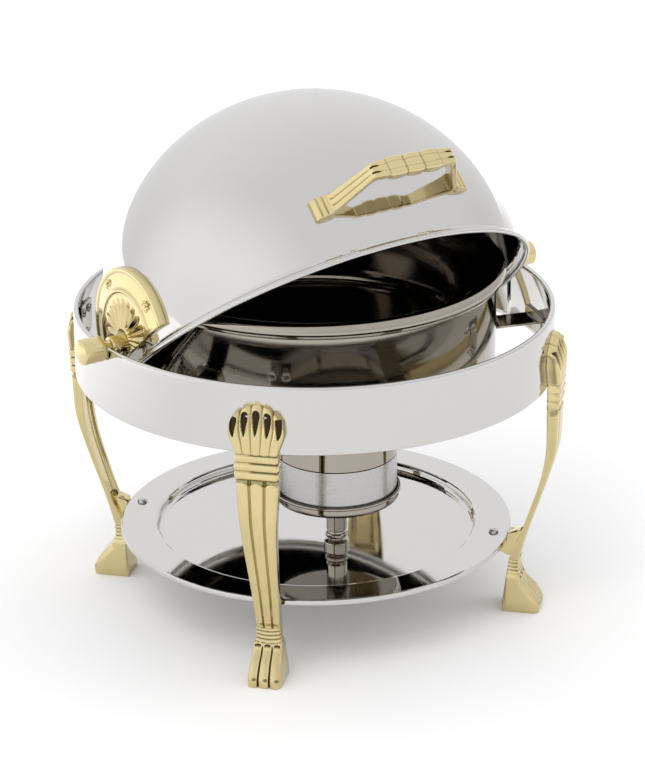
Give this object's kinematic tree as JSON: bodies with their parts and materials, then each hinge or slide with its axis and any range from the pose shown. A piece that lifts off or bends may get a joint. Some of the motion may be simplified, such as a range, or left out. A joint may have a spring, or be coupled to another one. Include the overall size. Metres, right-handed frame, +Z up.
{
  "type": "roll top chafer",
  "caption": "Round roll-top chafing dish: polished steel cover rolling on side pivots over a lift-out food pan, water pan, ring on cast brass claw legs, drip tray and fuel burner.",
  "frame": {"origin": "on the floor plane, under the middle of the ring", "axes": "+Z up, the front is -Y, the cover's pivot line is along X with the pivots at -X (left) and +X (right)"},
  "size_m": [0.509, 0.458, 0.5034],
  "materials": {
    "mirror_steel": "mirror-polished stainless steel with faint polishing marks",
    "polished_steel": "bright spun stainless steel",
    "brushed_steel": "turned and brushed steel",
    "polished_brass": "polished lacquered brass, darker in the recesses"
  },
  "bodies": {
    "root": {"ring_band": "mirror_steel", "strap_front": "polished_steel", "strap_left": "polished_steel", "strap_right": "polished_steel", "water_pan": "polished_steel", "gutter_ring": "polished_steel", "leg_front_left": "polished_brass", "leg_front_right": "polished_brass", "leg_rear_left": "polished_brass", "leg_rear_right": "polished_brass", "leg_plates": "polished_steel", "leg_screws": "brushed_steel", "tray": "mirror_steel", "tray_screws": "brushed_steel", "burner_post": "polished_steel", "post_screw": "brushed_steel", "burner_dish": "polished_steel", "dish_nut": "brushed_steel"},
    "cover": {"dome_shell": "mirror_steel", "medallion_left": "polished_brass", "medallion_right": "polished_brass", "medallion_screws": "brushed_steel", "pivot_shaft_left": "polished_brass", "pivot_shaft_right": "polished_brass", "pivot_knob_left": "polished_brass", "pivot_knob_right": "polished_brass", "pivot_nuts": "brushed_steel", "cover_handle": "polished_brass", "handle_screws": "brushed_steel"},
    "food_pan": {"food_pan": "polished_steel"},
    "fuel_cup": {"burner_cup": "brushed_steel"},
    "burner_cap": {"burner_cover": "polished_steel", "cover_loop": "polished_steel", "loop_rivets": "brushed_steel", "damper_pin": "brushed_steel"},
    "damper": {"damper_plate": "polished_steel", "damper_tab": "brushed_steel"}
  },
  "joints": [
    {"name": "cover_roll", "type": "hinge", "parent": "root", "child": "cover", "pos_m": [0, 0, 0.301], "axis": [-1, 0, 0], "range_deg": [-40, 50]},
    {"name": "food_pan_lift", "type": "slide", "parent": "root", "child": "food_pan", "axis": [0, 0, 1], "range_m": [0, 0.06]},
    {"name": "fuel_cup_lift", "type": "slide", "parent": "root", "child": "fuel_cup", "axis": [0, 0, 1], "range_m": [0, 0.014]},
    {"name": "burner_cap_lift", "type": "slide", "parent": "fuel_cup", "child": "burner_cap", "axis": [0, 0, 1], "range_m": [0, 0.012]},
    {"name": "damper_swivel", "type": "hinge", "parent": "burner_cap", "child": "damper", "pos_m": [0.0283, -0.0526, 0.1946], "axis": [0, 0, -1], "range_deg": [0, 96]}
  ]
}
